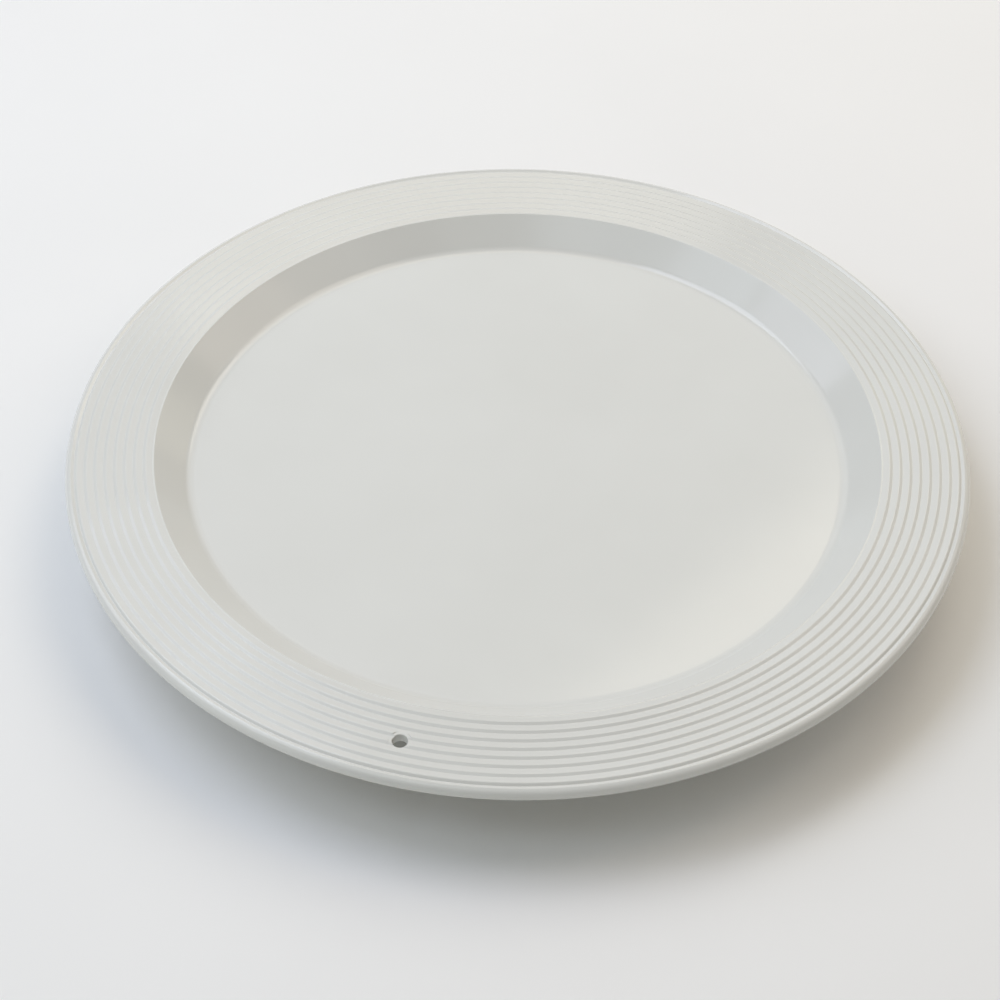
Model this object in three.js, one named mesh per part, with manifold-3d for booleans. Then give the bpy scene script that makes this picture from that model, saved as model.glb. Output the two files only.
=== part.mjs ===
// A lazy susan turntable: a round moulded plate with a reeded rim and a sunken well, which turns on a
// pressed-steel ball bearing screwed to a moulded base that stands on six rubber feet.
//
// Units are millimetres. +Z is up, the axis of rotation is Z, and Z = 0 is the surface it stands on.
// The hanging hole through the rim lies towards -Y.
import * as THREE from "three";
import { mergeVertices } from "three/addons/utils/BufferGeometryUtils.js";
import Module from "manifold-3d";

const wasm = await Module();
wasm.setup();

// ---- driving dimensions -------------------------------------------------------------------------

const PLATE_RADIUS = 190;
const WELL_RADIUS = 139.4; // where the flat floor ends
const WELL_DEPTH = 11.3; // from the bottom of the rim's valleys to the floor
const WALL_TOP_RADIUS = 153.1; // where the sloping wall reaches the level of the valleys
const RIM_THICKNESS = 3.65; // from the bottom of the valleys to the underside
const FLOOR_THICKNESS = 3.75;
const EDGE_RADIUS = 3.2; // the rounded outer edge
const EDGE_HEIGHT = 0.4; // its top, above the bottom of the valleys
const CORNER_RADIUS = 0.6; // the small round under it

const REED_COUNT = 8;
const FIRST_CREST_RADIUS = 156.45;
const REED_PITCH = 4.08;
const REED_HEIGHT = 0.7;
const REED_FALL = 1.3; // a crest drops into the valley outside it over this distance

const HANGING_HOLE_RADIUS = 3;
const HANGING_HOLE_CIRCLE = 171.4;

const BALL_COUNT = 16;
const BALL_RADIUS = 3;
const TRACK_RADIUS = 64; // the circle that the ball centres lie on
const TRACK_CLEARANCE = 0.125; // under and over each ball
const GROOVE_RADIUS = 3.6; // the raceway's own curve, a little wider than the ball
const GROOVE_HALF_WIDTH = 2.4;
const SHEET = 1; // thickness of the pressed rings
const RING_OUTER_RADIUS = 82;
const RING_INNER_RADIUS = 53.4;
const CAGE_HALF_WIDTH = 6.5;
const CAGE_THICKNESS = 2;
const POCKET_CLEARANCE = 0.35;

const BASE_RADIUS = 120;
const BASE_TOP = 10;
const BASE_FLOOR_THICKNESS = 3;
const SKIRT_THICKNESS = 3.5;
const SKIRT_BOTTOM = 3.25;
const BASE_EDGE_RADIUS = 2;
const LOCATING_RING_HEIGHT = 2;

const FOOT_COUNT = 6;
const FOOT_CIRCLE_RADIUS = 104;
const FOOT_RADIUS = 8.5;
const FOOT_HEIGHT = 3.6;
const FOOT_STEM_RADIUS = 2.6;
const FOOT_STEM_LENGTH = 3.4;

const SCREW_COUNT = 4;
const SCREW_CIRCLE_RADIUS = 76;
const SCREW_HEAD_RADIUS = 3.5;
const SCREW_HEAD_HEIGHT = 2;
const SCREW_SHANK_RADIUS = 1.5;
const SCREW_LENGTH = 6.25;
const SCREW_HOLE_RADIUS = 2.2; // in the pressed rings
const PILOT_RADIUS = 1.85; // in the moulded bosses
const BOSS_RADIUS = 4.5;
const BOSS_HEIGHT = 4;
const ACCESS_HOLE_RADIUS = 4.5; // lets a screwdriver reach the far ring's screws
const ACCESS_HOLE_ANGLE = 60; // degrees round from a ring's first screw
const PLATE_TURN = 22.5; // the plate and its ring stand this far round at rest, in degrees

const RIB_COUNT = 12;
const RIB_THICKNESS = 2;

// ---- sizes that follow from them ----------------------------------------------------------------

const BEARING_HEIGHT = 2 * (SHEET + TRACK_CLEARANCE + BALL_RADIUS);
const BEARING_TOP = BASE_TOP + BEARING_HEIGHT;
const FLOOR_UNDERSIDE = BEARING_TOP + BOSS_HEIGHT;
const FLOOR_TOP = FLOOR_UNDERSIDE + FLOOR_THICKNESS;
const VALLEY_Z = FLOOR_TOP + WELL_DEPTH;
const RIM_UNDERSIDE = VALLEY_Z - RIM_THICKNESS;
const CREST_Z = VALLEY_Z + REED_HEIGHT;

const ROUND = 48; // facets round the plate
const BEARING_ROUND = 36; // facets round the base and the rings
const SMALL_ROUND = 12; // facets round screws, feet and holes

// ---- geometry helpers ---------------------------------------------------------------------------

const radians = THREE.MathUtils.degToRad;

// Points along an arc in the profile plane (radius, height), angles in degrees.
function arc(centreR, centreZ, radius, from, to, steps) {
  return Array.from({ length: steps + 1 }, (_, i) => {
    const a = radians(from + ((to - from) * i) / steps);
    return [centreR + radius * Math.cos(a), centreZ + radius * Math.sin(a)];
  });
}

// A solid of revolution about Z. The outline runs anticlockwise with the radius to the right.
function turned(outline, segments) {
  const points = outline.map(([r, z]) => new THREE.Vector2(r, z));
  const [first, last] = [points[0], points[points.length - 1]];
  if (first.x > 0 || last.x > 0) points.push(first.clone());
  return new THREE.LatheGeometry(points, segments).rotateX(Math.PI / 2);
}

// A closed geometry as a manifold-3d solid.
function solidOf(geometry) {
  const bare = geometry.index ? geometry.toNonIndexed() : geometry.clone();
  bare.deleteAttribute("normal");
  bare.deleteAttribute("uv");
  const merged = mergeVertices(bare, 1e-4);
  return new wasm.Manifold(
    new wasm.Mesh({
      numProp: 3,
      vertProperties: merged.attributes.position.array,
      triVerts: new Uint32Array(merged.index.array),
    }),
  );
}

function geometryOf(solid) {
  const made = solid.getMesh();
  const geometry = new THREE.BufferGeometry();
  geometry.setAttribute("position", new THREE.BufferAttribute(made.vertProperties, 3));
  geometry.setIndex(new THREE.BufferAttribute(made.triVerts, 1));
  geometry.computeVertexNormals();
  return geometry;
}

// One geometry with others joined to it and then others cut from it.
function joinAndCut(geometry, joined, cut) {
  let solid = solidOf(geometry);
  for (const piece of joined) solid = solid.add(solidOf(piece));
  for (const piece of cut) solid = solid.subtract(solidOf(piece));
  return geometryOf(solid);
}

// An upright cylinder between two heights, its axis at a polar position.
function post(radius, low, high, circleRadius, degrees, segments = SMALL_ROUND) {
  const a = radians(degrees);
  return new THREE.CylinderGeometry(radius, radius, high - low, segments)
    .rotateX(Math.PI / 2)
    .translate(circleRadius * Math.cos(a), circleRadius * Math.sin(a), (low + high) / 2);
}

// A straight rib that runs outwards along a radius, between two heights.
function radialRib(fromRadius, toRadius, low, high, degrees) {
  return new THREE.BoxGeometry(toRadius - fromRadius, RIB_THICKNESS, high - low)
    .translate((fromRadius + toRadius) / 2, 0, (low + high) / 2)
    .rotateZ(radians(degrees));
}

const evenly = (count, start = 0) => Array.from({ length: count }, (_, i) => start + (360 * i) / count);

function named(name, geometry, material) {
  const mesh = new THREE.Mesh(geometry, material);
  mesh.name = name;
  return mesh;
}

// ---- materials ----------------------------------------------------------------------------------

const plastic = (color, roughness) => new THREE.MeshStandardMaterial({ color, roughness, metalness: 0 });
const metal = (color, roughness) => new THREE.MeshStandardMaterial({ color, roughness, metalness: 1 });

const plateMaterial = plastic(0xdcdcd7, 0.32);
const baseMaterial = plastic(0xd6d6d1, 0.5);
const cageMaterial = plastic(0xe9e6da, 0.45);
const ringMaterial = metal(0xb9bcbe, 0.38);
const screwMaterial = metal(0xc3c1b8, 0.35);
const ballMaterial = metal(0xd9dbdd, 0.12);
const footMaterial = plastic(0x3a3b3c, 0.85);

// ---- the plate ----------------------------------------------------------------------------------

// The rim's upper face: a steep fall outwards from each crest, then a gentle rise to the next one.
function reeds() {
  const crests = Array.from({ length: REED_COUNT }, (_, i) => FIRST_CREST_RADIUS + i * REED_PITCH);
  const firstValley = FIRST_CREST_RADIUS - REED_PITCH + REED_FALL;
  return [
    [firstValley, VALLEY_Z],
    ...crests.flatMap((r) => [
      [r, CREST_Z],
      [r + REED_FALL, VALLEY_Z],
    ]),
  ];
}

// Two circular ribs under the floor, which the bearing's upper ring is pulled up against.
function seatingRibs(underside, bottom) {
  const inner = SCREW_CIRCLE_RADIUS - BOSS_RADIUS + 0.5;
  const outer = SCREW_CIRCLE_RADIUS + BOSS_RADIUS - 0.5;
  return [inner - 1, outer - 1].flatMap((r) => [
    [r, underside],
    [r, bottom],
    [r + RIB_THICKNESS, bottom],
    [r + RIB_THICKNESS, underside],
  ]);
}

function plateOutline() {
  const edgeZ = RIM_UNDERSIDE + CORNER_RADIUS;
  const slope = WELL_DEPTH / (WALL_TOP_RADIUS - WELL_RADIUS);
  const wallDrop = FLOOR_THICKNESS * Math.hypot(1, slope); // the wall's thickness, measured upright
  const underWallRadius = (z) => WALL_TOP_RADIUS + (z + wallDrop - VALLEY_Z) / slope;
  const roundZ = VALLEY_Z + EDGE_HEIGHT - EDGE_RADIUS;
  const edge = arc(PLATE_RADIUS - EDGE_RADIUS, roundZ, EDGE_RADIUS, 0, 80, 4); // stops at the last valley
  const topFromTheOutside = [
    ...edge,
    ...reeds().reverse(),
    [WALL_TOP_RADIUS - 0.8, VALLEY_Z - 0.8 * slope],
    [WELL_RADIUS + 1.5, FLOOR_TOP + 1.5 * slope],
    [WELL_RADIUS - 1.5, FLOOR_TOP],
    [0, FLOOR_TOP],
  ];
  return [
    [0, FLOOR_UNDERSIDE],
    ...seatingRibs(FLOOR_UNDERSIDE, BEARING_TOP),
    [underWallRadius(FLOOR_UNDERSIDE), FLOOR_UNDERSIDE],
    [underWallRadius(RIM_UNDERSIDE), RIM_UNDERSIDE],
    ...arc(PLATE_RADIUS - CORNER_RADIUS, edgeZ, CORNER_RADIUS, -90, 0, 2),
    ...topFromTheOutside,
  ];
}

function plateGeometry() {
  const screws = evenly(SCREW_COUNT, PLATE_TURN);
  const ribStart = SCREW_CIRCLE_RADIUS + BOSS_RADIUS;
  const ribLow = FLOOR_UNDERSIDE - 2.5;
  const bosses = screws.map((a) =>
    post(BOSS_RADIUS, BEARING_TOP, FLOOR_UNDERSIDE + 1, SCREW_CIRCLE_RADIUS, a),
  );
  const ribs = evenly(RIB_COUNT, PLATE_TURN).map((a) =>
    radialRib(ribStart, WELL_RADIUS - 2, ribLow, FLOOR_UNDERSIDE + 1, a),
  );
  const pilots = screws.map((a) =>
    post(PILOT_RADIUS, BEARING_TOP - 1, BEARING_TOP + SCREW_LENGTH - SHEET + 0.5, SCREW_CIRCLE_RADIUS, a),
  );
  const hangingHole = post(
    HANGING_HOLE_RADIUS,
    RIM_UNDERSIDE - 1,
    VALLEY_Z + 2,
    HANGING_HOLE_CIRCLE,
    -90,
    24,
  );
  return joinAndCut(turned(plateOutline(), ROUND), [...bosses, ...ribs], [...pilots, hangingHole]);
}

// ---- the bearing --------------------------------------------------------------------------------

// Where a ring's sheet rises beside the ball track, above its mounting face.
const lipZ = () => {
  const grooveCentre = SHEET + GROOVE_RADIUS;
  return grooveCentre - Math.sqrt(GROOVE_RADIUS ** 2 - GROOVE_HALF_WIDTH ** 2);
};

// The track groove from one lip to the other, as seen from the ball's side of the sheet.
function grooveFromOutside() {
  const half = THREE.MathUtils.radToDeg(Math.asin(GROOVE_HALF_WIDTH / GROOVE_RADIUS));
  return arc(TRACK_RADIUS, SHEET + GROOVE_RADIUS, GROOVE_RADIUS, -90 + half, -90 - half, 4);
}

// Distances out from the track's centre line at which the pressed sheet changes direction.
const LIP_OUTER = GROOVE_HALF_WIDTH + 1;
const RAMP_OUTER = GROOVE_HALF_WIDTH + 2.2;

// The lower ring: a flange, the track, and an inner tube whose top is rolled outwards over the upper ring.
function lowerRingOutline() {
  const lip = lipZ();
  const curlTop = BEARING_HEIGHT;
  const curlReach = RING_INNER_RADIUS + SHEET + 3.2;
  return [
    [RING_INNER_RADIUS, 0],
    [TRACK_RADIUS - RAMP_OUTER + 0.4, 0],
    [TRACK_RADIUS - LIP_OUTER + 0.4, lip - SHEET],
    [TRACK_RADIUS - GROOVE_HALF_WIDTH, lip - SHEET],
    [TRACK_RADIUS - 1, 0],
    [TRACK_RADIUS + 1, 0],
    [TRACK_RADIUS + GROOVE_HALF_WIDTH, lip - SHEET],
    [TRACK_RADIUS + LIP_OUTER - 0.4, lip - SHEET],
    [TRACK_RADIUS + RAMP_OUTER - 0.4, 0],
    [RING_OUTER_RADIUS, 0],
    [RING_OUTER_RADIUS, SHEET],
    [TRACK_RADIUS + RAMP_OUTER, SHEET],
    [TRACK_RADIUS + LIP_OUTER, lip],
    ...grooveFromOutside(),
    [TRACK_RADIUS - LIP_OUTER, lip],
    [TRACK_RADIUS - RAMP_OUTER, SHEET],
    [RING_INNER_RADIUS + SHEET, SHEET],
    [RING_INNER_RADIUS + SHEET, curlTop - SHEET],
    [curlReach, curlTop - SHEET],
    [curlReach, curlTop],
    [RING_INNER_RADIUS + 0.6, curlTop],
    [RING_INNER_RADIUS, curlTop - 0.6],
  ];
}

// The upper ring, drawn from its own mounting face and turned over when it is placed. Its inner edge
// stays low enough for the lower ring's rolled edge to lie over it.
function upperRingOutline() {
  const lip = lipZ();
  const innerEdge = RING_INNER_RADIUS + SHEET + 0.8;
  const innerFace = lip + 0.5;
  return [
    [innerEdge, innerFace - SHEET],
    [TRACK_RADIUS - GROOVE_HALF_WIDTH, innerFace - SHEET],
    [TRACK_RADIUS - 1, 0],
    [TRACK_RADIUS + 1, 0],
    [TRACK_RADIUS + GROOVE_HALF_WIDTH, lip - SHEET],
    [TRACK_RADIUS + LIP_OUTER - 0.4, lip - SHEET],
    [TRACK_RADIUS + RAMP_OUTER - 0.4, 0],
    [RING_OUTER_RADIUS, 0],
    [RING_OUTER_RADIUS, SHEET],
    [TRACK_RADIUS + RAMP_OUTER, SHEET],
    [TRACK_RADIUS + LIP_OUTER, lip],
    ...grooveFromOutside(),
    [TRACK_RADIUS - GROOVE_HALF_WIDTH - 0.5, innerFace],
    [innerEdge, innerFace],
  ];
}

// A pressed ring with its four screw holes and the access hole, mounting face at Z = 0.
function ringGeometry(outline) {
  const through = (radius, angle) => post(radius, -1, SHEET + 1, SCREW_CIRCLE_RADIUS, angle);
  return joinAndCut(
    turned(outline, BEARING_ROUND),
    [],
    [
      ...evenly(SCREW_COUNT).map((a) => through(SCREW_HOLE_RADIUS, a)),
      through(ACCESS_HOLE_RADIUS, ACCESS_HOLE_ANGLE),
    ],
  );
}

function cageGeometry() {
  const half = CAGE_THICKNESS / 2;
  const outline = [
    [TRACK_RADIUS - CAGE_HALF_WIDTH, -half],
    [TRACK_RADIUS + CAGE_HALF_WIDTH, -half],
    [TRACK_RADIUS + CAGE_HALF_WIDTH, half],
    [TRACK_RADIUS - CAGE_HALF_WIDTH, half],
  ];
  const pocket = (a) => post(BALL_RADIUS + POCKET_CLEARANCE, -half - 1, half + 1, TRACK_RADIUS, a);
  return joinAndCut(turned(outline, BEARING_ROUND), [], evenly(BALL_COUNT).map(pocket));
}

const ballGeometry = () => new THREE.SphereGeometry(BALL_RADIUS, 12, 6);

// ---- screws, base and feet ----------------------------------------------------------------------

// A pan-head screw pointing down, with the underside of its head at Z = 0 and a cross recess on top.
function screwGeometry() {
  const shankEnd = -SCREW_LENGTH;
  const outline = [
    [0, shankEnd],
    [SCREW_SHANK_RADIUS, shankEnd + 1.6],
    [SCREW_SHANK_RADIUS, 0],
    [SCREW_HEAD_RADIUS, 0],
    [SCREW_HEAD_RADIUS, 0.6 * SCREW_HEAD_HEIGHT],
    [0.72 * SCREW_HEAD_RADIUS, SCREW_HEAD_HEIGHT],
    [0, SCREW_HEAD_HEIGHT],
  ];
  const slot = (turn) =>
    new THREE.BoxGeometry(3.6, 0.9, 2).translate(0, 0, SCREW_HEAD_HEIGHT).rotateZ(radians(turn));
  return joinAndCut(turned(outline, SMALL_ROUND), [], [slot(0), slot(90)]);
}

function baseOutline() {
  const ceiling = BASE_TOP - BASE_FLOOR_THICKNESS;
  const ribBottom = SKIRT_BOTTOM + 0.75;
  const hubRadius = 30;
  const locatingOuter = RING_INNER_RADIUS - 0.8;
  const locatingTop = BASE_TOP + LOCATING_RING_HEIGHT;
  return [
    [0, ceiling],
    [hubRadius - RIB_THICKNESS, ceiling],
    [hubRadius - RIB_THICKNESS, ribBottom],
    [hubRadius, ribBottom],
    [hubRadius, ceiling],
    [BASE_RADIUS - SKIRT_THICKNESS, ceiling],
    [BASE_RADIUS - SKIRT_THICKNESS, SKIRT_BOTTOM],
    [BASE_RADIUS - 0.5, SKIRT_BOTTOM],
    [BASE_RADIUS, SKIRT_BOTTOM + 0.5],
    ...arc(BASE_RADIUS - BASE_EDGE_RADIUS, BASE_TOP - BASE_EDGE_RADIUS, BASE_EDGE_RADIUS, 0, 90, 3),
    [locatingOuter, BASE_TOP],
    [locatingOuter, locatingTop],
    [locatingOuter - 3, locatingTop],
    [locatingOuter - 3, BASE_TOP],
    [0, BASE_TOP],
  ];
}

function baseGeometry() {
  const ceiling = BASE_TOP - BASE_FLOOR_THICKNESS;
  const screws = evenly(SCREW_COUNT);
  const feet = evenly(FOOT_COUNT, 30);
  const bosses = screws.map((a) => post(BOSS_RADIUS, SKIRT_BOTTOM, ceiling + 1, SCREW_CIRCLE_RADIUS, a));
  const pads = feet.map((a) => post(FOOT_RADIUS + 1, FOOT_HEIGHT, ceiling + 1, FOOT_CIRCLE_RADIUS, a, 20));
  const ribs = evenly(RIB_COUNT, 15).map((a) =>
    radialRib(29, BASE_RADIUS - SKIRT_THICKNESS + 1, SKIRT_BOTTOM + 0.75, ceiling + 1, a),
  );
  const pilotEnd = BASE_TOP + SHEET - SCREW_LENGTH - 0.5;
  const pilots = screws.map((a) => post(PILOT_RADIUS, pilotEnd, BASE_TOP + 1, SCREW_CIRCLE_RADIUS, a));
  const socketTop = FOOT_HEIGHT + FOOT_STEM_LENGTH + 0.4;
  const sockets = feet.map((a) =>
    post(FOOT_STEM_RADIUS + 0.3, FOOT_HEIGHT - 1, socketTop, FOOT_CIRCLE_RADIUS, a),
  );
  const access = post(ACCESS_HOLE_RADIUS + 0.5, 0, BASE_TOP + 1, SCREW_CIRCLE_RADIUS, ACCESS_HOLE_ANGLE);
  return joinAndCut(
    turned(baseOutline(), BEARING_ROUND),
    [...bosses, ...pads, ...ribs],
    [...pilots, ...sockets, access],
  );
}

// A rubber foot standing on Z = 0, with the stem that plugs into the base.
function footGeometry() {
  return turned(
    [
      [0, 0],
      [FOOT_RADIUS - 0.8, 0],
      [FOOT_RADIUS, 0.8],
      [FOOT_RADIUS, FOOT_HEIGHT],
      [FOOT_STEM_RADIUS, FOOT_HEIGHT],
      [FOOT_STEM_RADIUS, FOOT_HEIGHT + FOOT_STEM_LENGTH],
      [0, FOOT_HEIGHT + FOOT_STEM_LENGTH],
    ],
    SMALL_ROUND,
  );
}

// ---- assembly -----------------------------------------------------------------------------------

// Adds a ring of equal pieces, one mesh each, standing on a circle about Z.
function addRing(group, name, geometry, material, circleRadius, z, angles, digits = 1) {
  angles.forEach((degrees, i) => {
    const piece = named(`${name}_${String(i + 1).padStart(digits, "0")}`, geometry, material);
    const a = radians(degrees);
    piece.position.set(circleRadius * Math.cos(a), circleRadius * Math.sin(a), z);
    piece.rotation.z = a;
    group.add(piece);
  });
}

function baseGroup() {
  const group = new THREE.Group();
  group.add(named("base_disc", baseGeometry(), baseMaterial));
  addRing(
    group,
    "rubber_foot",
    footGeometry(),
    footMaterial,
    FOOT_CIRCLE_RADIUS,
    0,
    evenly(FOOT_COUNT, 30),
  );
  const ring = named("bearing_lower_ring", ringGeometry(lowerRingOutline()), ringMaterial);
  ring.position.z = BASE_TOP;
  group.add(ring);
  addRing(
    group,
    "base_screw",
    screwGeometry(),
    screwMaterial,
    SCREW_CIRCLE_RADIUS,
    BASE_TOP + SHEET,
    evenly(SCREW_COUNT),
  );
  return group;
}

function rollingGroup() {
  const group = new THREE.Group();
  group.position.z = BASE_TOP + BEARING_HEIGHT / 2;
  group.add(named("ball_cage", cageGeometry(), cageMaterial));
  addRing(group, "bearing_ball", ballGeometry(), ballMaterial, TRACK_RADIUS, 0, evenly(BALL_COUNT), 2);
  return group;
}

function turningGroup() {
  const group = new THREE.Group();
  group.add(named("turntable_plate", plateGeometry(), plateMaterial));
  const hung = new THREE.Group(); // upside down under the plate, screws pointing up
  hung.rotation.set(Math.PI, 0, radians(-PLATE_TURN));
  hung.position.z = BEARING_TOP;
  hung.add(named("bearing_upper_ring", ringGeometry(upperRingOutline()), ringMaterial));
  addRing(
    hung,
    "plate_screw",
    screwGeometry(),
    screwMaterial,
    SCREW_CIRCLE_RADIUS,
    SHEET,
    evenly(SCREW_COUNT),
  );
  group.add(hung);
  return group;
}

const turntable = new THREE.Group();
turntable.add(baseGroup(), rollingGroup(), turningGroup());

export default turntable;
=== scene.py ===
"""The looks of the lazy susan turntable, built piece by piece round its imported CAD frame.

Outlines are in millimetres and are scaled to metres as each mesh is made. +Z is up, the turntable turns
about Z, and Z = 0 is the surface that the feet stand on. The hanging hole lies towards -Y.
"""

import math
import random

import bmesh
import bpy
from mathutils import Matrix, Quaternion, Vector


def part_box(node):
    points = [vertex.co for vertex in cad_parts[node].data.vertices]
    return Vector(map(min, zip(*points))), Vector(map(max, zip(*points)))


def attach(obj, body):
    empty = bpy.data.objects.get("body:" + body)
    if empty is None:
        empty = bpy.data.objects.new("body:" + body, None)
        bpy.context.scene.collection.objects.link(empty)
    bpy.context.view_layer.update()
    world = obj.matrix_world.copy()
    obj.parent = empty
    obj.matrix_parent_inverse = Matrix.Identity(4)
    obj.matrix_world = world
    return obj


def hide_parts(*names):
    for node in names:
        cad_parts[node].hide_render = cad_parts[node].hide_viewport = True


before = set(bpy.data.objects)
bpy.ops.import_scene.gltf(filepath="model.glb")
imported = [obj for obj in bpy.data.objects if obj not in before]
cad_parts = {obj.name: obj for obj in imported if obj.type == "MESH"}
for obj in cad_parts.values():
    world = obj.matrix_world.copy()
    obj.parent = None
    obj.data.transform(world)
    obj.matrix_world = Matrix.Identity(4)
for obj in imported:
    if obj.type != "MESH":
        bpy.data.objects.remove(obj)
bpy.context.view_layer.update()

MM = 0.001
random.seed(7)


# ---- where the CAD says things are, in millimetres ------------------------------------------------


def box_mm(node):
    """The low and high corners of a CAD node's box."""
    low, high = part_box(node)
    return low / MM, high / MM


def middle_mm(node):
    low, high = box_mm(node)
    return (low + high) / 2


PLATE_LOW, PLATE_HIGH = box_mm("turntable_plate")
PLATE_RADIUS = PLATE_HIGH.x
CREST_Z = PLATE_HIGH.z
SEAT_Z = PLATE_LOW.z  # the bearing's top, where the plate sits on it
RING_LOW, RING_HIGH = box_mm("bearing_lower_ring")
RING_RADIUS = RING_HIGH.x
BASE_LOW, BASE_HIGH = box_mm("base_disc")
BASE_RADIUS = BASE_HIGH.x
BASE_TOP = RING_LOW.z
SKIRT_BOTTOM = BASE_LOW.z
CAGE_LOW, CAGE_HIGH = box_mm("ball_cage")
BALL_Z = middle_mm("bearing_ball_01").z
TRACK_RADIUS = middle_mm("bearing_ball_01").x
BALL_RADIUS = box_mm("bearing_ball_01")[1].z - BALL_Z

# ---- dimensions shared with the CAD source --------------------------------------------------------

REED_COUNT = 8
REED_PITCH = 4.08
REED_FALL = 1.3  # how far a reed's steep outer side reaches outwards
FIRST_CREST_RADIUS = 156.45
VALLEY_Z = CREST_Z - 0.7
RIM_UNDERSIDE = VALLEY_Z - 3.65
WELL_RADIUS = 139.4
WALL_TOP_RADIUS = 153.1
FLOOR_TOP = VALLEY_Z - 11.3
FLOOR_THICKNESS = 3.75
FLOOR_UNDERSIDE = FLOOR_TOP - FLOOR_THICKNESS
EDGE_RADIUS = 3.2
EDGE_TOP = VALLEY_Z + 0.4
HOLE_RADIUS = 3.0
HOLE_CIRCLE = 171.4

SHEET = 1.0  # thickness of the pressed rings
GROOVE_RADIUS = 3.6
GROOVE_HALF = 2.4  # half the width of the ball track
RING_INNER_RADIUS = 53.4
CAGE_INNER_RADIUS = 57.5
BEARING_HEIGHT = SEAT_Z - BASE_TOP

SCREW_CIRCLE = 76.0
SCREW_LENGTH = 6.25
HEAD_RADIUS = 3.5
HEAD_HEIGHT = 2.0
PILOT_RADIUS = 1.85
BOSS_RADIUS = 4.5
ACCESS_RADIUS = 4.5  # the hole through which a driver reaches the plate's screws
ACCESS_ANGLE = 60.0
PLATE_TURN = 22.5  # the plate's screws lie this far round from the base's

BASE_CEILING = BASE_TOP - 3.0
FOOT_CIRCLE = 104.0
FOOT_RADIUS = 8.5
FOOT_HEIGHT = 3.6
FOOT_STEM_RADIUS = 2.6
FOOT_STEM_LENGTH = 3.4
FOOT_COUNT = 6
FOOT_TURN = 30.0
RIB_COUNT = 12
RIB_THICKNESS = 2.0
RIB_TAPER = 0.12
BALL_COUNT = 16
SCREW_COUNT = 4

# ---- details of the visual model only -------------------------------------------------------------

MARK_DEPTH = 0.12  # of an ejector mark
CLEAR = 1.0  # how far a cutter or a joined part runs on past a face


# ---- mesh helpers ---------------------------------------------------------------------------------


def rounded(corners, closed=False, turn=12.0):
    """Points of an outline in the (r, z) plane. A corner is (r, z), or (r, z, radius) to round it."""
    points = []
    count = len(corners)
    for i, corner in enumerate(corners):
        here = Vector(corner[:2])
        radius = corner[2] if len(corner) > 2 else 0.0
        if not radius or (not closed and i in (0, count - 1)):
            points.append(here)
            continue
        before = Vector(corners[i - 1][:2]) - here
        after = Vector(corners[(i + 1) % count][:2]) - here
        half = before.angle(after) / 2
        reach = min(radius / math.tan(half), 0.49 * min(before.length, after.length))
        radius = reach * math.tan(half)
        before.normalize()
        after.normalize()
        centre = here + (before + after).normalized() * (radius / math.sin(half))
        start = here + before * reach - centre
        end = here + after * reach - centre
        sweep = math.atan2(start.cross(end), start.dot(end))
        steps = max(2, math.ceil(math.degrees(abs(sweep)) / turn))
        for s in range(steps + 1):
            points.append(centre + Matrix.Rotation(sweep * s / steps, 2) @ start)
    return points


def arc(centre_r, centre_z, radius, start, end, steps):
    """Points of an arc in the (r, z) plane, angles in degrees."""
    angles = [math.radians(start + (end - start) * s / steps) for s in range(steps + 1)]
    return [(centre_r + radius * math.cos(a), centre_z + radius * math.sin(a)) for a in angles]


def skin(bm, rows, closed):
    """Faces between rows of vertices that run round Z. A row of one vertex is a pole."""
    pairs = list(zip(rows, rows[1:]))
    if closed:
        pairs.append((rows[-1], rows[0]))
    for low, high in pairs:
        count = max(len(low), len(high))
        for k in range(count):
            j = (k + 1) % count
            if len(low) == 1:
                bm.faces.new((low[0], high[j], high[k]))
            elif len(high) == 1:
                bm.faces.new((low[k], low[j], high[0]))
            else:
                bm.faces.new((low[k], low[j], high[j], high[k]))


def circle_row(bm, r, z, count):
    """Vertices of a circle round Z, or a single vertex where the outline meets the axis."""
    if r < 1e-6:
        return [bm.verts.new((0, 0, z))]
    turns = [2 * math.pi * k / count for k in range(count)]
    return [bm.verts.new((r * math.cos(t), r * math.sin(t), z)) for t in turns]


def lathe(name, outline, segments, closed=False, centre=(0.0, 0.0)):
    """A solid turned about an upright axis. The outline runs anticlockwise, the radius to the right."""
    bm = bmesh.new()
    rows = [circle_row(bm, r, z, segments) for r, z in outline]
    skin(bm, rows, closed)
    bmesh.ops.translate(bm, verts=bm.verts, vec=(*centre, 0))
    return to_object(name, bm)


def to_object(name, bm):
    """A new object in metres from a bmesh in millimetres."""
    bmesh.ops.scale(bm, vec=(MM, MM, MM), verts=bm.verts)
    mesh = bpy.data.meshes.new(name)
    bm.to_mesh(mesh)
    bm.free()
    made = bpy.data.objects.new(name, mesh)
    bpy.context.scene.collection.objects.link(made)
    return made


def polar(circle, degrees):
    a = math.radians(degrees)
    return circle * math.cos(a), circle * math.sin(a)


def evenly(count, start=0.0):
    return [start + 360.0 * i / count for i in range(count)]


def joined(objects):
    """One object from several, whose meshes stay as they are."""
    bm = bmesh.new()
    for made in objects:
        bm.from_mesh(made.data)
    first = objects[0]
    bm.to_mesh(first.data)
    bm.free()
    for made in objects[1:]:
        bpy.data.objects.remove(made)
    return first


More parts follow.
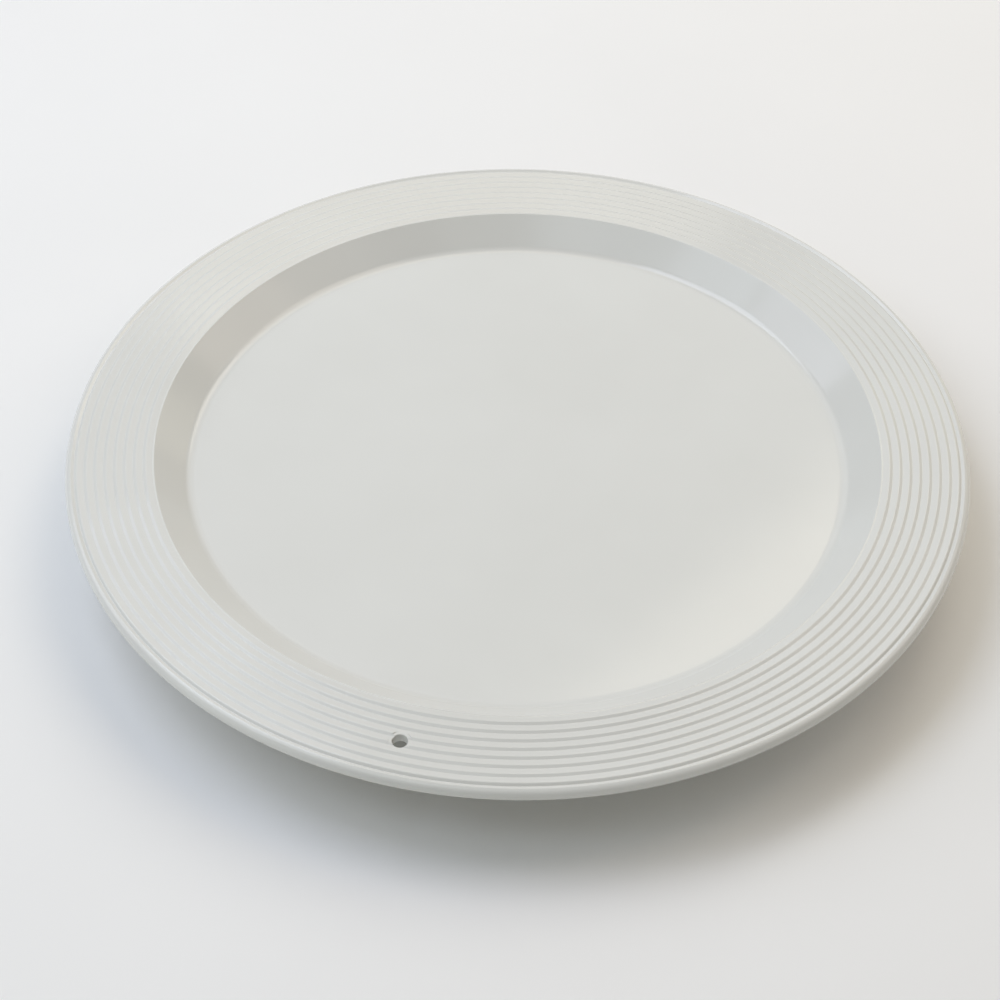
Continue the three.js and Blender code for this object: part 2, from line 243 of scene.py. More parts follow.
def combine(piece, operation, others):
    """Joins other solids to a piece, or cuts them from it. The others must stand clear of each other."""
    other = joined(others)
    modifier = piece.modifiers.new("combine", "BOOLEAN")
    modifier.operation = operation
    modifier.solver = "MANIFOLD"
    modifier.object = other
    graph = bpy.context.evaluated_depsgraph_get()
    mesh = bpy.data.meshes.new_from_object(piece.evaluated_get(graph))
    piece.modifiers.clear()
    old = piece.data
    piece.data = mesh
    bpy.data.meshes.remove(old)
    bpy.data.objects.remove(other)
    return piece


def post(radius, low, high, circle, degrees, segments=48, round_low=0.0, round_high=0.0):
    """An upright round bar with rounded ends, its axis at a polar position."""
    corners = [(0, low), (radius, low, round_low), (radius, high, round_high), (0, high)]
    return lathe("post", rounded(corners), segments, centre=polar(circle, degrees))


def flared(radius, low, high, flare, circle, degrees, segments=64):
    """A cutter for a hole whose mouths are softly rounded. Low and high are the faces it goes through."""
    mouth = radius + flare
    brim = mouth + 1
    quarter = [math.pi / 2 * s / 6 for s in range(7)]
    lower = [(mouth - flare * math.sin(t), low + flare * (1 - math.cos(t))) for t in quarter]
    upper = [(mouth - flare * math.cos(t), high - flare * (1 - math.sin(t))) for t in quarter]
    outline = [(0, low - 1), (brim, low - 1), (brim, low), *lower]
    outline += [*upper, (brim, high), (brim, high + 1), (0, high + 1)]
    return lathe("flared", outline, segments, centre=polar(circle, degrees))


def radial_rib(start, end, low, high, degrees):
    """A straight rib running outwards, its free lower edge rounded and its sides slightly tapered."""
    top = RIB_THICKNESS / 2
    foot = top - RIB_TAPER
    section = rounded([(-top, high), (-foot, low, 0.35), (foot, low, 0.35), (top, high)], turn=22)
    bm = bmesh.new()
    ends = [[bm.verts.new((r, y, z)) for y, z in section] for r in (start, end)]
    count = len(section)
    for k in range(count):
        j = (k + 1) % count
        bm.faces.new((ends[0][k], ends[1][k], ends[1][j], ends[0][j]))
    bm.faces.new(ends[0])
    bm.faces.new(reversed(ends[1]))
    bmesh.ops.rotate(bm, verts=bm.verts, matrix=Matrix.Rotation(math.radians(degrees), 3, "Z"))
    bmesh.ops.recalc_face_normals(bm, faces=bm.faces)
    return to_object("rib", bm)


def finish_mesh(piece, sharp=35.0, flat_faces=True):
    """Smooth shading that keeps edges crisp above an angle of sharp degrees, and flat faces flat.

    A piece that is curved all over has no flat faces to keep, and weighting them would dent its shading.
    """
    bm = bmesh.new()
    bm.from_mesh(piece.data)
    bmesh.ops.remove_doubles(bm, verts=bm.verts, dist=1e-7)
    bmesh.ops.dissolve_degenerate(bm, edges=bm.edges, dist=1e-7)
    for face in bm.faces:
        face.smooth = True
    for edge in bm.edges:
        edge.smooth = not edge.is_manifold or edge.calc_face_angle(0) < math.radians(sharp)
    bm.to_mesh(piece.data)
    bm.free()
    if flat_faces:
        weighted = piece.modifiers.new("normals", "WEIGHTED_NORMAL")
        weighted.keep_sharp = True
        weighted.weight = 100


def place(piece, name, body, paint):
    """Names a finished piece after the CAD node it stands for, and says which body carries it."""
    piece.name = name
    piece.data.name = name
    piece.data.materials.clear()
    piece.data.materials.append(paint)
    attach(piece, body)
    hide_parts(name)


# ---- materials ------------------------------------------------------------------------------------


class Paint:
    """A Principled material and short ways to give it procedural detail."""

    def __init__(self, name, **sockets):
        self.material = bpy.data.materials.new(name)
        self.material.use_nodes = True
        self.tree = self.material.node_tree
        self.shader = self.tree.nodes["Principled BSDF"]
        self.place = self.tree.nodes.new("ShaderNodeTexCoord").outputs["Object"]
        self.normal = None
        for socket, value in sockets.items():
            self.shader.inputs[socket.replace("_", " ")].default_value = value

    def node(self, kind, links=(), **settings):
        """A new node. A setting is a socket's value where a socket has its name, or else a property."""
        made = self.tree.nodes.new(kind)
        for key, value in settings.items():
            if key in made.inputs:
                made.inputs[key].default_value = value
            else:
                setattr(made, key, value)
        for socket, source in links:
            self.tree.links.new(source, made.inputs[socket])
        return made

    def noise(self, size, detail=3.0, roughness=0.5, where=None):
        """Noise whose features are about size millimetres across."""
        made = self.node("ShaderNodeTexNoise", [("Vector", where or self.place)], Scale=1 / (size * MM))
        made.inputs["Detail"].default_value = detail
        made.inputs["Roughness"].default_value = roughness
        return made.outputs["Fac"]

    def spread(self, source, low, high, start=0.3, end=0.7):
        """Maps values from start to end, by default the middle of a noise, to a range from low to high."""
        made = self.node("ShaderNodeMapRange", [("Value", source)])
        made.inputs["From Min"].default_value = start
        made.inputs["From Max"].default_value = end
        made.inputs["To Min"].default_value = low
        made.inputs["To Max"].default_value = high
        return made.outputs["Result"]

    def mix(self, fac, first, second):
        """A colour between two, by a value from 0 to 1."""
        made = self.node("ShaderNodeMix", data_type="RGBA")
        self.tree.links.new(fac, made.inputs["Factor"])
        for socket, value in (("A", first), ("B", second)):
            target = [s for s in made.inputs if s.name == socket and s.type == "RGBA"][0]
            target.default_value = value
        return [s for s in made.outputs if s.type == "RGBA"][0]

    def bump(self, height, depth):
        """Adds relief of depth millimetres to any that is there already."""
        made = self.node("ShaderNodeBump", [("Height", height)])
        made.inputs["Distance"].default_value = depth * MM
        made.inputs["Strength"].default_value = 1.0
        if self.normal:
            self.tree.links.new(self.normal, made.inputs["Normal"])
        self.normal = made.outputs["Normal"]
        self.tree.links.new(self.normal, self.shader.inputs["Normal"])

    def feed(self, socket, source):
        """Links an output to a socket of the shader."""
        self.tree.links.new(source, self.shader.inputs[socket])


def rgb(red, green, blue):
    return (red, green, blue, 1.0)


def plastic(name, light, dark, roughness, grain, relief, orange_peel=0.0):
    """Moulded plastic: faint mottling, a fine grain and patches that are a little glossier."""
    paint = Paint(name, IOR=1.5)
    paint.feed("Base Color", paint.mix(paint.spread(paint.noise(55, 2), 0, 1), light, dark))
    paint.feed("Roughness", paint.spread(paint.noise(38, 4, 0.6), *roughness))
    paint.bump(paint.noise(grain, 2), relief)
    if orange_peel:
        paint.bump(paint.noise(9, 1), orange_peel)
    return paint.material


def steel(name, light, dark, roughness, brushed=0.0, spots=0.0):
    """Metal with drawn marks round Z, or spots where the plating has dulled."""
    paint = Paint(name, Metallic=1.0)
    paint.feed("Base Color", paint.mix(paint.spread(paint.noise(6, 3), 0, 1), light, dark))
    paint.feed("Roughness", paint.spread(paint.noise(2.5, 4, 0.65), *roughness))
    if brushed:
        parts = paint.node("ShaderNodeSeparateXYZ", [("Vector", paint.place)])
        radius = paint.node("ShaderNodeVectorMath", [(0, paint.place)], operation="LENGTH")
        both = paint.node("ShaderNodeCombineXYZ", [("X", radius.outputs["Value"]), ("Y", parts.outputs["Z"])])
        paint.bump(paint.noise(0.25, 2, where=both.outputs[0]), brushed)
    if spots:
        paint.bump(paint.noise(0.8, 2), spots)
    return paint.material


PLATE_PLASTIC = plastic(
    "plate_plastic",
    rgb(0.735, 0.738, 0.705),
    rgb(0.715, 0.717, 0.683),
    roughness=(0.10, 0.14),
    grain=0.7,
    relief=0.0004,
    orange_peel=0.001,
)
BASE_PLASTIC = plastic(
    "base_plastic",
    rgb(0.70, 0.70, 0.67),
    rgb(0.67, 0.67, 0.64),
    roughness=(0.42, 0.55),
    grain=0.5,
    relief=0.012,
)
CAGE_PLASTIC = plastic(
    "cage_plastic",
    rgb(0.80, 0.77, 0.68),
    rgb(0.74, 0.71, 0.61),
    roughness=(0.35, 0.5),
    grain=0.8,
    relief=0.006,
)
RING_STEEL = steel(
    "ring_steel", rgb(0.62, 0.63, 0.63), rgb(0.50, 0.51, 0.52), roughness=(0.24, 0.42), brushed=0.004
)
BALL_STEEL = steel("ball_steel", rgb(0.72, 0.73, 0.74), rgb(0.66, 0.67, 0.68), roughness=(0.06, 0.14))
SCREW_STEEL = steel(
    "screw_steel", rgb(0.66, 0.65, 0.60), rgb(0.54, 0.52, 0.46), roughness=(0.22, 0.42), spots=0.006
)


def rubber():
    """Dull black rubber with a dusty bloom."""
    paint = Paint("foot_rubber", IOR=1.45)
    black, bloom = rgb(0.042, 0.043, 0.045), rgb(0.060, 0.060, 0.060)
    paint.feed("Base Color", paint.mix(paint.spread(paint.noise(4, 3), 0, 1), black, bloom))
    paint.feed("Roughness", paint.spread(paint.noise(1.5, 3), 0.68, 0.86))
    paint.bump(paint.noise(0.5, 3), 0.02)
    return paint.material


FOOT_RUBBER = rubber()


# ---- the plate ------------------------------------------------------------------------------------


def plate_corners():
    """The plate's section: underside from the middle outwards, round the edge, back over the top."""
    slope = (VALLEY_Z - FLOOR_TOP) / (WALL_TOP_RADIUS - WELL_RADIUS)
    drop = FLOOR_THICKNESS * math.hypot(1, slope)

    def under_wall(z):
        return WALL_TOP_RADIUS + (z + drop - VALLEY_Z) / slope

    ribs = []
    for inner in (SCREW_CIRCLE - BOSS_RADIUS - 0.5, SCREW_CIRCLE + BOSS_RADIUS - 1.5):
        outer = inner + RIB_THICKNESS
        ribs += [(inner, FLOOR_UNDERSIDE, 0.5), (inner, SEAT_Z, 0.3)]
        ribs += [(outer, SEAT_Z, 0.3), (outer, FLOOR_UNDERSIDE, 0.5)]
    underside = [
        (0, FLOOR_UNDERSIDE),
        *ribs,
        (under_wall(FLOOR_UNDERSIDE), FLOOR_UNDERSIDE, 12),
        (under_wall(RIM_UNDERSIDE), RIM_UNDERSIDE, 1.2),
    ]
    crests = [FIRST_CREST_RADIUS + REED_PITCH * i for i in range(REED_COUNT)]
    top = [(WELL_RADIUS, FLOOR_TOP, 7), (WALL_TOP_RADIUS, VALLEY_Z + 0.1, 3.0)]
    for r in crests:
        top += [(r - REED_PITCH + REED_FALL, VALLEY_Z, 0.8), (r, CREST_Z, 1.0)]
    bead = arc(PLATE_RADIUS - EDGE_RADIUS, EDGE_TOP - EDGE_RADIUS, EDGE_RADIUS, 0, 80, 14)
    top += [(crests[-1] + 1.1, VALLEY_Z - 0.3, 0.3), (*bead[-1], 0.4)]
    corner = arc(PLATE_RADIUS - 0.6, RIM_UNDERSIDE + 0.6, 0.6, -90, 0, 5)
    return underside, corner, bead, top


def plate_outline():
    underside, corner, bead, top = plate_corners()
    lower = rounded(underside + [corner[0]], turn=15)
    upper = rounded([bead[-2]] + top[::-1] + [(0, FLOOR_TOP)], turn=7.5)
    return lower[:-1] + corner + bead[:-1] + upper[1:]


def make_plate():
    """The plate, with screw bosses, ribs and a gate mark below, and ejector marks and a hanging hole."""
    plate = lathe("plate", plate_outline(), 384)
    screws = evenly(SCREW_COUNT, PLATE_TURN)
    root = FLOOR_UNDERSIDE + CLEAR
    bosses = [post(BOSS_RADIUS, SEAT_Z, root, SCREW_CIRCLE, a, round_low=0.3) for a in screws]
    ribs = [
        radial_rib(80.2, WELL_RADIUS - 2, FLOOR_UNDERSIDE - 2.5, root, a)
        for a in evenly(RIB_COUNT, PLATE_TURN)
    ]
    gate = [post(3.2, FLOOR_UNDERSIDE - 0.35, root, 0, 0, round_low=0.25)]
    combine(plate, "UNION", bosses + gate)
    combine(plate, "UNION", ribs)
    pilot_top = SEAT_Z + SCREW_LENGTH - SHEET + 0.5
    pilots = [post(PILOT_RADIUS, SEAT_Z - CLEAR, pilot_top, SCREW_CIRCLE, a, segments=32) for a in screws]
    mark_low, mark_high = FLOOR_UNDERSIDE - CLEAR, FLOOR_UNDERSIDE + MARK_DEPTH
    marks = [post(4, mark_low, mark_high, 46, a) for a in evenly(6, 30)]
    marks += [post(4, mark_low, mark_high, 108, a) for a in evenly(12, 37.5)]
    hole = flared(HOLE_RADIUS, RIM_UNDERSIDE, (VALLEY_Z + CREST_Z) / 2, 0.35, HOLE_CIRCLE, -90)
    combine(plate, "DIFFERENCE", pilots + marks + [hole])
    finish_mesh(plate, 40)
    place(plate, "turntable_plate", "turntable", PLATE_PLASTIC)


# ---- the bearing ----------------------------------------------------------------------------------


def groove_lip():
    """How high the sheet rises beside the ball track, above its mounting face."""
    return SHEET + GROOVE_RADIUS - math.sqrt(GROOVE_RADIUS**2 - GROOVE_HALF**2)


GROOVE_STEPS = 16


def groove():
    """The ball track's arc, from its outer lip to its inner one. The lips are softly rounded."""
    half = math.degrees(math.asin(GROOVE_HALF / GROOVE_RADIUS))
    track = arc(TRACK_RADIUS, SHEET + GROOVE_RADIUS, GROOVE_RADIUS, -90 + half, -90 - half, GROOVE_STEPS)
    return [(*track[0], 0.3), *track[1:-1], (*track[-1], 0.3)]


LIP_OUT = GROOVE_HALF + 1.0  # the lip's outer edge, from the middle of the track
RAMP_OUT = GROOVE_HALF + 2.2  # the foot of the slope beyond it


def lower_ring_outline():
    """The lower ring's section, mounting face at z = 0. Its inner tube is rolled outwards at the top."""
    lip = groove_lip()
    t = TRACK_RADIUS
    reach = RING_INNER_RADIUS + SHEET + 3.2
    return rounded(
        [
            (RING_INNER_RADIUS, 0, 0.8),
            (t - RAMP_OUT + 0.4, 0, 0.8),
            (t - LIP_OUT + 0.4, lip - SHEET, 0.5),
            (t - GROOVE_HALF, lip - SHEET, 0.5),
            (t - 1, 0, 1.0),
            (t + 1, 0, 1.0),
            (t + GROOVE_HALF, lip - SHEET, 0.5),
            (t + LIP_OUT - 0.4, lip - SHEET, 0.5),
            (t + RAMP_OUT - 0.4, 0, 0.8),
            (RING_RADIUS, 0, 0.15),
            (RING_RADIUS, SHEET, 0.3),
            (t + RAMP_OUT, SHEET, 0.8),
            (t + LIP_OUT, lip, 0.6),
            *groove(),
            (t - LIP_OUT, lip, 0.6),
            (t - RAMP_OUT, SHEET, 0.8),
            (RING_INNER_RADIUS + SHEET, SHEET, 0.6),
            (RING_INNER_RADIUS + SHEET, BEARING_HEIGHT - SHEET, 0.3),
            (reach, BEARING_HEIGHT - SHEET, 0.15),
            (reach, BEARING_HEIGHT, 0.3),
            (RING_INNER_RADIUS, BEARING_HEIGHT, 1.0),
        ],
        closed=True,
        turn=15,
    )


def upper_ring_outline():
    """The upper ring's section, mounting face at z = 0. Its inner edge lies under the rolled tube."""
    lip = groove_lip()
    t = TRACK_RADIUS
    edge = RING_INNER_RADIUS + SHEET + 0.8
    face = lip + 0.5
    return rounded(
        [
            (edge, face - SHEET, 0.15),
            (t - GROOVE_HALF, face - SHEET, 0.6),
            (t - 1, 0, 1.0),
            (t + 1, 0, 1.0),
            (t + GROOVE_HALF, lip - SHEET, 0.5),
            (t + LIP_OUT - 0.4, lip - SHEET, 0.5),
            (t + RAMP_OUT - 0.4, 0, 0.8),
            (RING_RADIUS, 0, 0.3),
            (RING_RADIUS, SHEET, 0.15),
            (t + RAMP_OUT, SHEET, 0.8),
            (t + LIP_OUT, lip, 0.6),
            *groove(),
            (t - GROOVE_HALF - 0.5, face, 0.4),
            (edge, face, 0.3),
        ],
        closed=True,
        turn=15,
    )


def make_ring(outline, name, body, transform):
    """A pressed ring with soft-edged holes, made mounting face down and then put in place."""
    ring = lathe("ring", outline, 256, closed=True)
    holes = [flared(2.2, 0, SHEET, 0.2, SCREW_CIRCLE, a, segments=40) for a in evenly(SCREW_COUNT)]
    holes.append(flared(ACCESS_RADIUS, 0, SHEET, 0.2, SCREW_CIRCLE, ACCESS_ANGLE))
    combine(ring, "DIFFERENCE", holes)
    ring.data.transform(transform)
    finish_mesh(ring, 45)
    place(ring, name, body, RING_STEEL)


LOWER_PLACE = Matrix.Translation((0, 0, BASE_TOP * MM))
UPPER_PLACE = (
    Matrix.Translation((0, 0, SEAT_Z * MM))
    @ Matrix.Rotation(math.pi, 4, "X")
    @ Matrix.Rotation(math.radians(-PLATE_TURN), 4, "Z")
)


def make_cage():
    """A flat moulded ring. Each pocket has two short lips above and below that hold its ball."""
    low, high = CAGE_LOW.z, CAGE_HIGH.z
    inner, outer = CAGE_INNER_RADIUS, CAGE_HIGH.x
    corners = [(inner, low, 0.3), (outer, low, 0.3), (outer, high, 0.3), (inner, high, 0.3)]
    cage = lathe("cage", rounded(corners, closed=True, turn=22), 256, closed=True)
    angles = evenly(BALL_COUNT)
    collars = [
        post(BALL_RADIUS + 1.15, low - 0.4, high + 0.4, TRACK_RADIUS, a, round_low=0.3, round_high=0.3)
        for a in angles
    ]
    combine(cage, "UNION", collars)
    below, above = low - 2 * CLEAR, high + 2 * CLEAR
    pockets = [post(BALL_RADIUS + 0.3, below, above, TRACK_RADIUS, a, segments=64) for a in angles]
    windows = []
    for a in evenly(BALL_COUNT, 180 / BALL_COUNT):
        windows.append(post(1.6, below, above, TRACK_RADIUS - 2.6, a, segments=32))
        windows.append(post(1.9, below, above, TRACK_RADIUS + 2.4, a, segments=32))
    combine(cage, "DIFFERENCE", pockets + windows)
    finish_mesh(cage)
    place(cage, "ball_cage", "cage", CAGE_PLASTIC)


def ball_mesh():
    """A ball from a cube whose faces are divided evenly and pushed out, so that no poles show."""
    bm = bmesh.new()
    bmesh.ops.create_cube(bm, size=2)
    bmesh.ops.subdivide_edges(bm, edges=bm.edges, cuts=11, use_grid_fill=True)
    for v in bm.verts:
        spread = Vector([math.tan(c * math.pi / 4) for c in v.co])
        v.co = spread.normalized() * BALL_RADIUS
    return bm


def make_balls():
    for i, a in enumerate(evenly(BALL_COUNT)):
        ball = to_object("ball", ball_mesh())
        name = f"bearing_ball_{i + 1:02d}"
        ball.data.transform(Matrix.Rotation(math.radians(a), 4, "Z"))
        ball.location = middle_mm(name) * MM
        finish_mesh(ball, 60, flat_faces=False)
        place(ball, name, f"ball_{i + 1:02d}", BALL_STEEL)


# ---- screws ---------------------------------------------------------------------------------------

THREAD_PITCH = 1.25
THREAD_CORE = 1.15  # radius between the ridges
THREAD_CREST = 1.75  # radius of the ridges
THREAD_HALF = 0.24  # half a ridge's width, as a share of the pitch
NECK_RADIUS = 1.35  # the plain shank under the head
NECK_START = -0.6  # where the thread starts to fade
NECK_FADE = 0.4
POINT_LENGTH = 1.9
HEAD_OVERLAP = 0.15  # the thread's rows end this far below the head


def screw_mesh():
    """A pan-head screw pointing down, the underside of its head at z = 0, with a real helical thread."""
    bm = bmesh.new()
    around = 28
    tip = -SCREW_LENGTH
    levels = 60
    rows = [[bm.verts.new((0, 0, tip))]]
    for s in range(1, levels + 1):
        z = tip + (SCREW_LENGTH - HEAD_OVERLAP) * s / levels
        grown = min(1.0, (z - tip) / POINT_LENGTH)
        threaded = min(1.0, max(0.0, (NECK_START - z) / NECK_FADE))
        row = []
        for k in range(around):
            phase = (z / THREAD_PITCH - k / around) % 1.0
            ridge = max(0.0, 1.0 - abs(phase - 0.5) / THREAD_HALF)
            r = THREAD_CORE + (THREAD_CREST - THREAD_CORE) * ridge * threaded
            r = (r + (NECK_RADIUS - THREAD_CORE) * (1 - threaded)) * grown
            t = 2 * math.pi * k / around
            row.append(bm.verts.new((r * math.cos(t), r * math.sin(t), z)))
        rows.append(row)
    head = rounded(
        [
            (NECK_RADIUS, -HEAD_OVERLAP),
            (NECK_RADIUS, 0, 0.1),
            (HEAD_RADIUS, 0, 0.2),
            (HEAD_RADIUS, 0.75, 0.3),
            (HEAD_RADIUS * 0.86, 1.45, 1.2),
            (HEAD_RADIUS * 0.5, HEAD_HEIGHT, 2.0),
            (0, HEAD_HEIGHT),
        ],
        turn=10,
    )
    rows += [circle_row(bm, r, z, around) for r, z in head[1:]]
    skin(bm, rows, False)
    return bm


def cross_cutter():
    """The tapered cross that the driver fits."""
    blades = []
    for turn in (0, 90):
        bm = bmesh.new()
        bmesh.ops.create_cube(bm, size=1)
        for v in bm.verts:
            deep = v.co.z < 0
            v.co.x *= 1.9 if deep else 3.7
            v.co.y *= 0.55 if deep else 0.95
            v.co.z = HEAD_HEIGHT + (-1.35 if deep else 0.4)
        bmesh.ops.rotate(bm, verts=bm.verts, matrix=Matrix.Rotation(math.radians(turn), 3, "Z"))
        blades.append(to_object("blade", bm))
    return combine(blades[0], "UNION", [blades[1]])


def make_screw(name, body, transform):
    """A screw, turned to wherever it happened to tighten."""
    screw = to_object("screw", screw_mesh())
    combine(screw, "DIFFERENCE", [cross_cutter()])
    screw.data.transform(Matrix.Rotation(random.uniform(0, math.pi), 4, "Z"))
    finish_mesh(screw, 38, flat_faces=False)
    screw.matrix_world = transform
    place(screw, name, body, SCREW_STEEL)


def screw_place(degrees):
    """Where a screw's head sits on its ring, as the ring is made."""
    x, y = polar(SCREW_CIRCLE, degrees)
    return Matrix.Translation((x * MM, y * MM, SHEET * MM))


# ---- base and feet --------------------------------------------------------------------------------


BASE_RIB_BOTTOM = SKIRT_BOTTOM + 0.75
HUB_RADIUS = 30


def base_outline():
    """The base's section: hub ring and skirt below, and above it the ring that centres the bearing."""
    hub_inside = HUB_RADIUS - RIB_THICKNESS
    locating = RING_INNER_RADIUS - 0.8
    locating_top = BASE_HIGH.z
    inside = BASE_RADIUS - 3.5
    return rounded(
        [
            (0, BASE_CEILING),
            (hub_inside, BASE_CEILING, 0.5),
            (hub_inside, BASE_RIB_BOTTOM, 0.4),
            (HUB_RADIUS, BASE_RIB_BOTTOM, 0.4),
            (HUB_RADIUS, BASE_CEILING, 0.5),
            (inside, BASE_CEILING, 1.0),
            (inside, SKIRT_BOTTOM, 0.4),
            (BASE_RADIUS, SKIRT_BOTTOM, 0.6),
            (BASE_RADIUS, BASE_TOP, 2.0),
            (locating, BASE_TOP, 0.3),
            (locating, locating_top, 0.4),
            (locating - 3, locating_top, 0.4),
            (locating - 3, BASE_TOP, 0.4),
            (0, BASE_TOP),
        ],
        turn=9,
    )


def make_base():
    """The base, with screw bosses, foot pads and ribs below, foot sockets and the driver's hole."""
    base = lathe("base", base_outline(), 320)
    screws = evenly(SCREW_COUNT)
    feet = evenly(FOOT_COUNT, FOOT_TURN)
    root = BASE_CEILING + CLEAR
    bosses = [post(BOSS_RADIUS, SKIRT_BOTTOM, root, SCREW_CIRCLE, a, round_low=0.3) for a in screws]
    pads = [
        post(FOOT_RADIUS + 1, FOOT_HEIGHT, root, FOOT_CIRCLE, a, segments=64, round_low=0.4) for a in feet
    ]
    ribs = [
        radial_rib(HUB_RADIUS - 1, BASE_RADIUS - 2.5, BASE_RIB_BOTTOM, root, a)
        for a in evenly(RIB_COUNT, 15)
    ]
    combine(base, "UNION", ribs)
    combine(base, "UNION", bosses + pads)
    pilot_end = BASE_TOP + SHEET - SCREW_LENGTH - 0.5
    socket_top = FOOT_HEIGHT + 3.8
    socket_radius = FOOT_STEM_RADIUS + 0.3
    above = BASE_TOP + CLEAR
    below = FOOT_HEIGHT - CLEAR
    cutters = [post(PILOT_RADIUS, pilot_end, above, SCREW_CIRCLE, a, segments=32) for a in screws]
    cutters += [post(socket_radius, below, socket_top, FOOT_CIRCLE, a, segments=32) for a in feet]
    cutters.append(flared(ACCESS_RADIUS + 0.5, BASE_CEILING, BASE_TOP, 0.3, SCREW_CIRCLE, ACCESS_ANGLE))
    cutters += [post(3, BASE_CEILING - 2 * CLEAR, BASE_CEILING + MARK_DEPTH, 50, a) for a in feet]
    combine(base, "DIFFERENCE", cutters)
    finish_mesh(base, 40)
    place(base, "base_disc", "base", BASE_PLASTIC)


def foot_outline():
    """A soft foot whose sole has three grip rings round a shallow hollow."""
    sole = [(0, 0.5), (1.8, 0.5, 0.3), (2.2, 0, 0.3)]
    for r in (3.6, 5.0, 6.4):
        sole += [(r - 0.35, 0, 0.15), (r - 0.2, 0.35, 0.1), (r + 0.2, 0.35, 0.1), (r + 0.35, 0, 0.15)]
    return rounded(
        sole
        + [
            (FOOT_RADIUS - 0.1, 0, 0.9),
            (FOOT_RADIUS, FOOT_HEIGHT, 0.25),
            (FOOT_STEM_RADIUS, FOOT_HEIGHT, 0.2),
            (FOOT_STEM_RADIUS, FOOT_HEIGHT + FOOT_STEM_LENGTH, 0.8),
            (0, FOOT_HEIGHT + FOOT_STEM_LENGTH),
        ],
        turn=15,
    )


def make_feet():
    for i, a in enumerate(evenly(FOOT_COUNT, FOOT_TURN)):
        foot = lathe("foot", foot_outline(), 64)
        x, y = polar(FOOT_CIRCLE, a)
        foot.location = (x * MM, y * MM, 0)
        finish_mesh(foot)
        place(foot, f"rubber_foot_{i + 1}", "base", FOOT_RUBBER)


make_plate()
make_ring(lower_ring_outline(), "bearing_lower_ring", "base", LOWER_PLACE)
make_ring(upper_ring_outline(), "bearing_upper_ring", "turntable", UPPER_PLACE)
make_cage()
make_balls()
for i, a in enumerate(evenly(SCREW_COUNT)):
    make_screw(f"base_screw_{i + 1}", "base", LOWER_PLACE @ screw_place(a))
    make_screw(f"plate_screw_{i + 1}", "turntable", UPPER_PLACE @ screw_place(a))
make_base()
make_feet()


# ---- camera ---------------------------------------------------------------------------------------

CAMERA_AZIMUTH = 14.1  # the hanging hole lies this far to the left of the middle of the view
CAMERA_ELEVATION = 43.29
CAMERA_DISTANCE = 0.93915
CAMERA_ROLL = -0.941
TARGET_DROP = 2.33  # millimetres from the reeds' crests down to the point the camera goes round
AIM_RIGHT = 0.457  # the camera looks this many degrees past that point
AIM_UP = 1.588
LENS = 79.72


def add_camera():
    """A camera in front of the turntable, above it and a little to the right."""
    target = Vector((0, 0, (CREST_Z - TARGET_DROP) * MM))
    a = math.radians(CAMERA_AZIMUTH)
    e = math.radians(CAMERA_ELEVATION)
    back = Vector((math.sin(a) * math.cos(e), -math.cos(a) * math.cos(e), math.sin(e)))
    camera = bpy.data.objects.new("camera", bpy.data.cameras.new("camera"))
    camera.data.sensor_width = 36
    camera.data.lens = LENS
    look = (-back).to_track_quat("-Z", "Y")
    roll = Quaternion((0, 0, 1), math.radians(CAMERA_ROLL))
    off = Vector((math.tan(math.radians(AIM_RIGHT)), math.tan(math.radians(AIM_UP)), -1))
    aim = Vector((0, 0, -1)).rotation_difference(off)
    camera.rotation_mode = "QUATERNION"
    camera.rotation_quaternion = look @ roll.inverted() @ aim.inverted()
    camera.location = target + back * CAMERA_DISTANCE
    bpy.context.scene.collection.objects.link(camera)
    bpy.context.scene.camera = camera


# ---- floor and light ------------------------------------------------------------------------------


FLOOR_RADIUS = 30000.0
GLOW_START = 0.8  # metres from the plate's axis
GLOW_FULL = 2.6
GLOW = 0.58


def add_floor():
    """A pale floor. It glows faintly far from the plate, where the softboxes no longer reach it."""
    bm = bmesh.new()
    bmesh.ops.create_circle(bm, cap_ends=True, segments=96, radius=FLOOR_RADIUS)
    floor = to_object("floor", bm)
    paint = Paint("floor_paint", IOR=1.4)
    light, dark = rgb(0.90, 0.90, 0.89), rgb(0.88, 0.88, 0.87)
    paint.feed("Base Color", paint.mix(paint.spread(paint.noise(180, 3), 0, 1), light, dark))
    paint.feed("Roughness", paint.spread(paint.noise(25, 3), 0.75, 0.85))
    distance = paint.node("ShaderNodeVectorMath", [(0, paint.place)], operation="LENGTH")
    glow = paint.spread(distance.outputs["Value"], 0, GLOW, start=GLOW_START, end=GLOW_FULL)
    paint.feed("Emission Strength", glow)
    paint.shader.inputs["Emission Color"].default_value = rgb(1, 1, 0.99)
    paint.material.cycles.emission_sampling = "NONE"
    floor.data.materials.append(paint.material)


def towards(azimuth, elevation):
    """A direction from the object. Azimuth 0 is beyond it as the camera sees it, and 90 is to the right."""
    a = math.radians(azimuth)
    e = math.radians(elevation)
    flat = Vector((math.sin(a) * math.cos(e), math.cos(a) * math.cos(e), math.sin(e)))
    return Matrix.Rotation(math.radians(CAMERA_AZIMUTH), 3, "Z") @ flat


SOFTBOX_DISTANCE = 2.0


def softbox(name, azimuth, elevation, width, height, power, colour, roll=0.0):
    """A rectangle of light, sizes in metres and power in watts, that faces the object."""
    light = bpy.data.lights.new(name, "AREA")
    light.shape = "RECTANGLE"
    light.size = width
    light.size_y = height
    light.energy = power
    light.color = colour
    made = bpy.data.objects.new(name, light)
    where = towards(azimuth, elevation)
    made.location = where * SOFTBOX_DISTANCE
    made.rotation_mode = "QUATERNION"
    facing = (-where).to_track_quat("-Z", "Y")
    made.rotation_quaternion = facing @ Quaternion((0, 0, 1), math.radians(roll))
    bpy.context.scene.collection.objects.link(made)


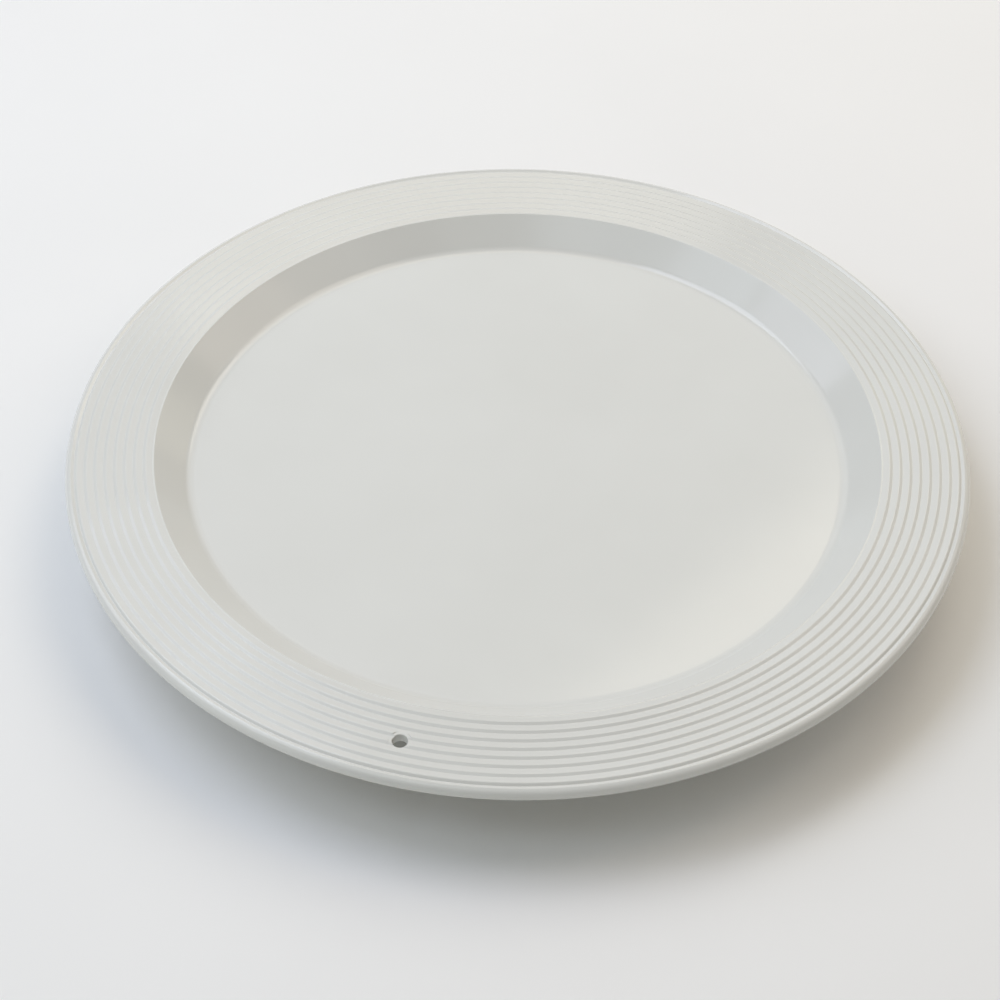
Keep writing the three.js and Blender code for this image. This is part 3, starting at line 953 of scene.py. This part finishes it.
def add_light():
    """Window light from the left, warmer lamps to the right, and pale walls all round."""
    softbox("window", -60, 62, 1.1, 0.9, 12.3, (0.77, 0.84, 1.0))
    softbox("window_low", -70, 36, 0.9, 0.8, 4.2, (0.84, 0.86, 1.0))
    softbox("window_side", -105, 47, 0.9, 0.8, 4.8, (0.82, 0.90, 1.0))
    softbox("window_near", -140, 60, 0.9, 0.8, 1.6, (0.80, 0.92, 1.0))
    softbox("low_near", -120, 14, 1.1, 0.8, 2.8, (0.95, 1.0, 0.80))
    softbox("lamp", 60, 62, 1.1, 0.9, 5.5, (0.98, 0.81, 0.62))
    softbox("lamp_low", 72, 37, 0.9, 0.8, 2.6, (0.98, 0.85, 0.74))
    softbox("lamp_side", 105, 47, 0.9, 0.8, 1.1, (1.0, 0.93, 0.86))
    softbox("lamp_highlight", 21.3, 53.3, 0.56, 1.4, 5.2, (1.0, 0.91, 0.74), roll=-33)
    softbox("ceiling_near", 180, 63, 1.1, 0.6, 0.6, (0.90, 1.0, 1.0))
    softbox("far_wall", 0, 42, 1.9, 0.95, 4.2, (0.87, 0.96, 1.0))
    softbox("low_far", 0, 11, 2.0, 0.7, 1.3, (0.85, 0.95, 1.0))
    softbox("low_right", 50, 14, 1.0, 0.8, 1.5, (1.0, 0.98, 0.75))


def add_room():
    """A world that lights the plate dimly, and that the camera sees as a pale backdrop."""
    world = bpy.data.worlds.new("studio")
    bpy.context.scene.world = world
    world.use_nodes = True
    nodes, links = world.node_tree.nodes, world.node_tree.links
    room = nodes["Background"]
    room.inputs["Color"].default_value = (0.215, 0.21, 0.2, 1)
    backdrop = nodes.new("ShaderNodeBackground")
    backdrop.inputs["Color"].default_value = (0.84, 0.84, 0.83, 1)
    seen = nodes.new("ShaderNodeLightPath")
    either = nodes.new("ShaderNodeMixShader")
    links.new(seen.outputs["Is Camera Ray"], either.inputs["Fac"])
    links.new(room.outputs[0], either.inputs[1])
    links.new(backdrop.outputs[0], either.inputs[2])
    links.new(either.outputs[0], nodes["World Output"].inputs["Surface"])


add_camera()
add_floor()
add_light()
add_room()

bpy.context.scene.view_settings.view_transform = "Standard"
